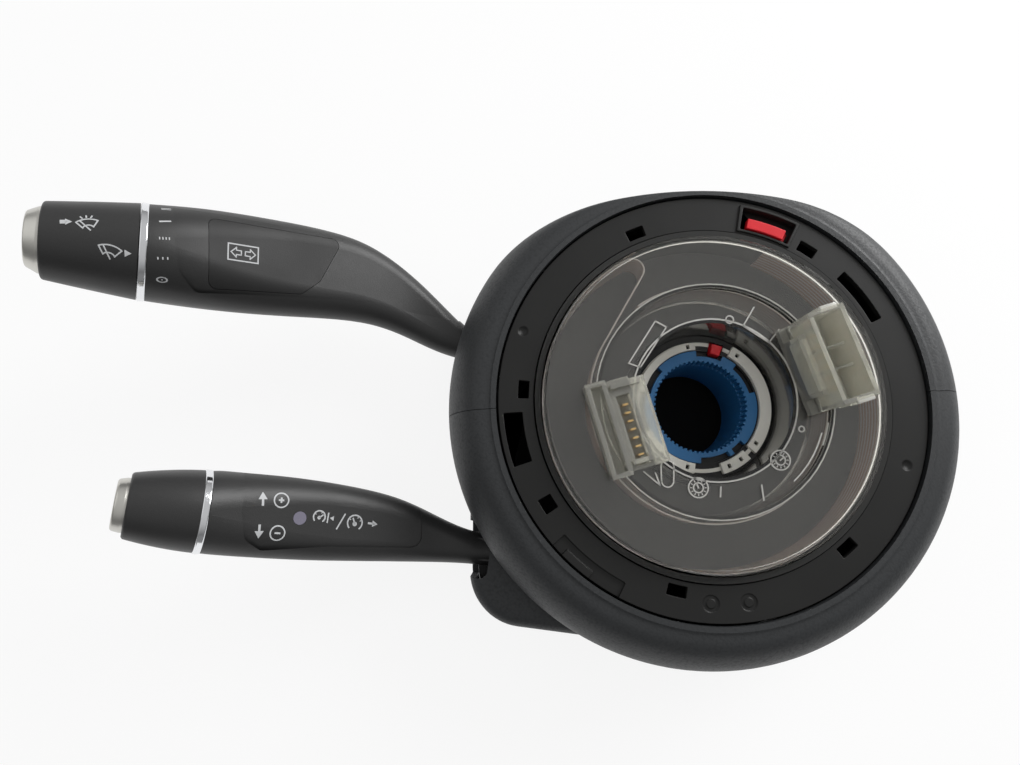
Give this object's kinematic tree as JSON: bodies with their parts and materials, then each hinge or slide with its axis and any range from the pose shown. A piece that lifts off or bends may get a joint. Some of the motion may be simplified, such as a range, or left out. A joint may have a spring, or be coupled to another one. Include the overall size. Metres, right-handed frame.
{
  "type": "combination stalk switch",
  "caption": "Steering column switch module: textured shroud round a clear spiral-cable rotor, with a turn and wiper stalk and a cruise stalk that swing, tilt, twist and press.",
  "frame": {"origin": "centre of the column sleeve's seat at the module's back", "axes": "+Z along the steering axis towards the driver, +Y up on the column, +X to the driver's right"},
  "size_m": [0.3157, 0.1685, 0.0924],
  "materials": {
    "shroud": "fine leather grain",
    "face_ring": "fine grain",
    "housing": "glass-filled, plain",
    "cup": "plain, seen through the clear cover",
    "core": "smooth",
    "clear_cover": "clear polycarbonate",
    "clear_socket": "milky clear polycarbonate",
    "blue": "smooth",
    "white": "smooth",
    "red": "smooth",
    "stalk": "satin, fine grain",
    "insert": "satin",
    "bright": "polished",
    "button": "satin silver lacquer",
    "lens": "smooth, dark",
    "steel": "zinc plated",
    "board": "lacquered",
    "component": "moulded",
    "contact": "gold plated",
    "magnet": "sintered",
    "ribbon": "laminated film"
  },
  "bodies": {
    "housing": {"shroud_upper": "shroud", "shroud_lower": "shroud", "shroud_screws": "steel", "rear_housing": "housing", "clamp_band": "steel", "clamp_screw": "steel", "face_ring": "face_ring", "housing_screws": "steel", "spiral_cup": "cup", "ribbon_cable": "ribbon", "circuit_board": "board", "board_components": "component", "vehicle_connector": "housing", "connector_pins": "contact", "turn_switch_case": "housing", "turn_pivot_pin": "steel", "cruise_switch_case": "housing", "cruise_pivot_pin": "steel"},
    "release_slider": {"release_slider": "red"},
    "rotor": {"rotor_cover": "clear_cover", "rotor_core": "core", "drive_ring": "blue", "lock_ring": "white", "cancel_cam": "white", "angle_gear": "white", "tall_socket": "clear_socket", "tall_socket_contacts": "contact", "low_socket": "clear_socket", "low_socket_contacts": "contact"},
    "lock_tab": {"lock_tab": "red"},
    "pinion_a": {"pinion_a": "white", "magnet_a": "magnet"},
    "pinion_b": {"pinion_b": "white", "magnet_b": "magnet"},
    "turn_yoke": {"turn_yoke": "housing", "turn_detent_plunger": "white", "turn_tilt_pin": "steel"},
    "turn_stalk": {"turn_stalk_arm": "stalk", "turn_insert_plate": "insert", "turn_bright_ring": "bright"},
    "wiper_knob": {"wiper_knob": "stalk", "washer_spring": "steel"},
    "washer_button": {"washer_button": "button"},
    "cruise_yoke": {"cruise_yoke": "housing", "cruise_detent_plunger": "white", "cruise_tilt_pin": "steel"},
    "cruise_stalk": {"cruise_stalk_arm": "stalk", "cruise_lens": "lens", "cruise_bright_ring": "bright", "cruise_grip": "stalk", "limit_spring": "steel"},
    "limit_button": {"limit_button": "button"}
  },
  "joints": [
    {"name": "rotor_turn", "type": "hinge", "parent": "housing", "child": "rotor", "pos_m": [0, 0, 0], "axis": [0, 0, 1], "range_deg": [-900, 900]},
    {"name": "pinion_a_spin", "type": "hinge", "parent": "housing", "child": "pinion_a", "pos_m": [0.0178, -0.03357, 0.024], "axis": [0, 0, 1], "range_deg": [-2920, 2920]},
    {"name": "pinion_b_spin", "type": "hinge", "parent": "housing", "child": "pinion_b", "pos_m": [0.03696, -0.01245, 0.024], "axis": [0, 0, 1], "range_deg": [-2650, 2650]},
    {"name": "release_slide", "type": "slide", "parent": "housing", "child": "release_slider", "axis": [0.3322, 0.9432, 0], "range_m": [0, 0.003]},
    {"name": "lock_tab_press", "type": "slide", "parent": "rotor", "child": "lock_tab", "axis": [0, 0, -1], "range_m": [0, 0.002], "stiffness_N_per_m": 200},
    {"name": "turn_signal", "type": "hinge", "parent": "housing", "child": "turn_yoke", "pos_m": [-0.062, 0.0144, 0.022], "axis": [0, 0, 1], "range_deg": [-7, 7]},
    {"name": "turn_tilt", "type": "hinge", "parent": "turn_yoke", "child": "turn_stalk", "pos_m": [-0.07169, 0.0196, 0.022], "axis": [0.4726, 0.8813, 0], "range_deg": [-4, 5], "stiffness_Nm_per_rad": 8},
    {"name": "wiper_turn", "type": "hinge", "parent": "turn_stalk", "child": "wiper_knob", "pos_m": [-0.1909, 0.04865, 0.0679], "axis": [-0.8824, -0.0308, 0.4695], "range_deg": [-35, 50]},
    {"name": "washer_press", "type": "slide", "parent": "wiper_knob", "child": "washer_button", "axis": [0.8824, 0.0308, -0.4695], "range_m": [0, 0.0025], "stiffness_N_per_m": 1500},
    {"name": "cruise_updown", "type": "hinge", "parent": "housing", "child": "cruise_yoke", "pos_m": [-0.057, -0.0543, 0.022], "axis": [0, 0, 1], "range_deg": [-6, 6], "stiffness_Nm_per_rad": 6},
    {"name": "cruise_tilt", "type": "hinge", "parent": "cruise_yoke", "child": "cruise_stalk", "pos_m": [-0.06789, -0.05277, 0.022], "axis": [0.1392, 0.9903, 0], "range_deg": [-4, 4], "stiffness_Nm_per_rad": 6},
    {"name": "limit_press", "type": "slide", "parent": "cruise_stalk", "child": "limit_button", "axis": [0.8784, -0.0892, -0.4695], "range_m": [0, 0.0025], "stiffness_N_per_m": 1500}
  ],
  "couplings": [
    {"joint": "pinion_a_spin", "follows": "rotor_turn", "ratio": -3.2222},
    {"joint": "pinion_b_spin", "follows": "rotor_turn", "ratio": -2.9}
  ]
}
